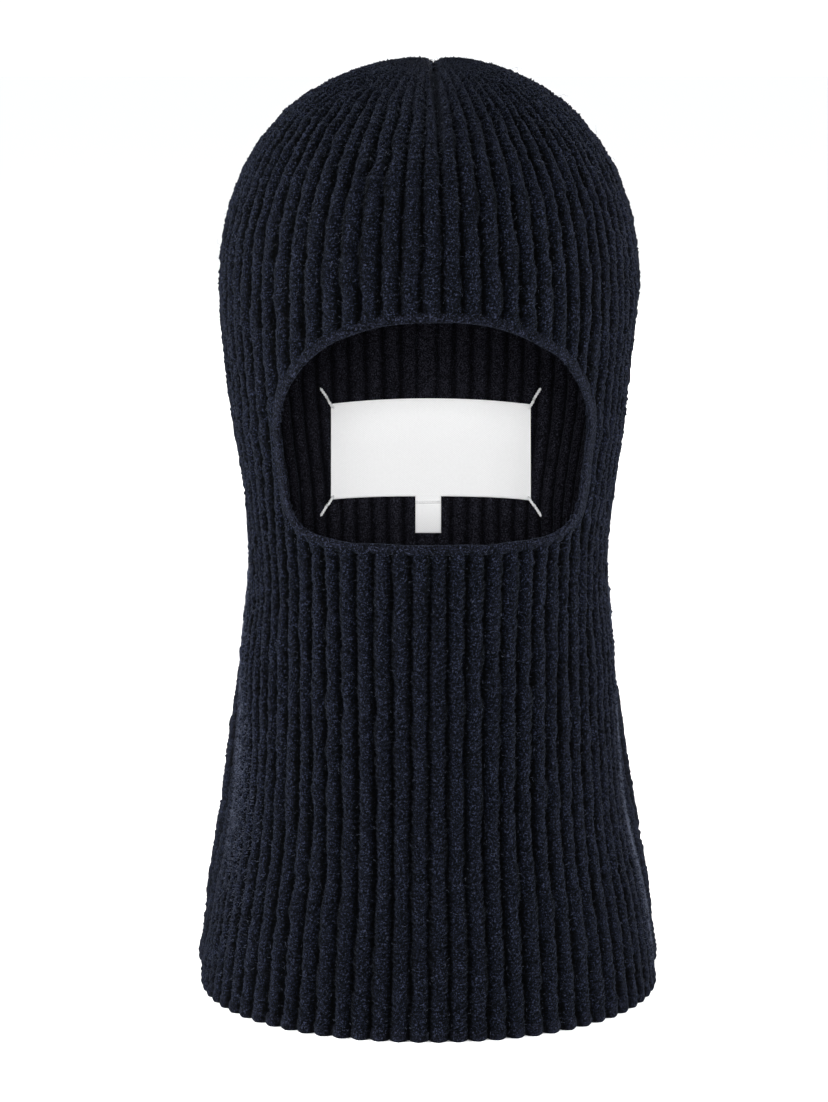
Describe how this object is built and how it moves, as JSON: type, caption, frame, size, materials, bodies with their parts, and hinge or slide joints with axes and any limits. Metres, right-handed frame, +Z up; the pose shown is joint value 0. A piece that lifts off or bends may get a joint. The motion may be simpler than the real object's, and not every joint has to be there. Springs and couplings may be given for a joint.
{
  "type": "balaclava",
  "caption": "Close-fitting ribbed knit hood that covers the head and neck, with one arched face opening and a flared neck skirt.",
  "frame": {"origin": "middle of the hem's rectangle, on the surface the hem stands on", "axes": "+Z up towards the crown, -Y towards the face opening, +X to the right of someone looking at the face opening"},
  "size_m": [0.1832, 0.18, 0.3579],
  "materials": {
    "knit": "matte brushed wool rib knit, navy melange",
    "edge_knit": "matte wool, flat linked edge",
    "linking_yarn": "matte wool yarn",
    "woven_label": "fine white satin-edged woven tape",
    "white_thread": "white cotton thread"
  },
  "bodies": {
    "hood": {"front_panel": "knit", "back_panel_right": "knit", "back_panel_left": "knit", "face_trim": "edge_knit", "hem_edge": "edge_knit", "side_seam_right": "linking_yarn", "side_seam_left": "linking_yarn", "centre_back_seam": "linking_yarn", "crown_seam": "linking_yarn", "crown_yarn": "linking_yarn", "main_label": "woven_label", "label_tack_upper_left": "white_thread", "label_tack_lower_left": "white_thread", "label_tack_upper_right": "white_thread", "label_tack_lower_right": "white_thread", "tab_stitch": "white_thread"},
    "tab": {"tab_label": "woven_label"}
  },
  "joints": [
    {"name": "tab_flap", "type": "hinge", "parent": "hood", "child": "tab", "pos_m": [0, 0.0716, 0.1768], "axis": [-1, 0, 0], "range_deg": [0, 110]}
  ]
}
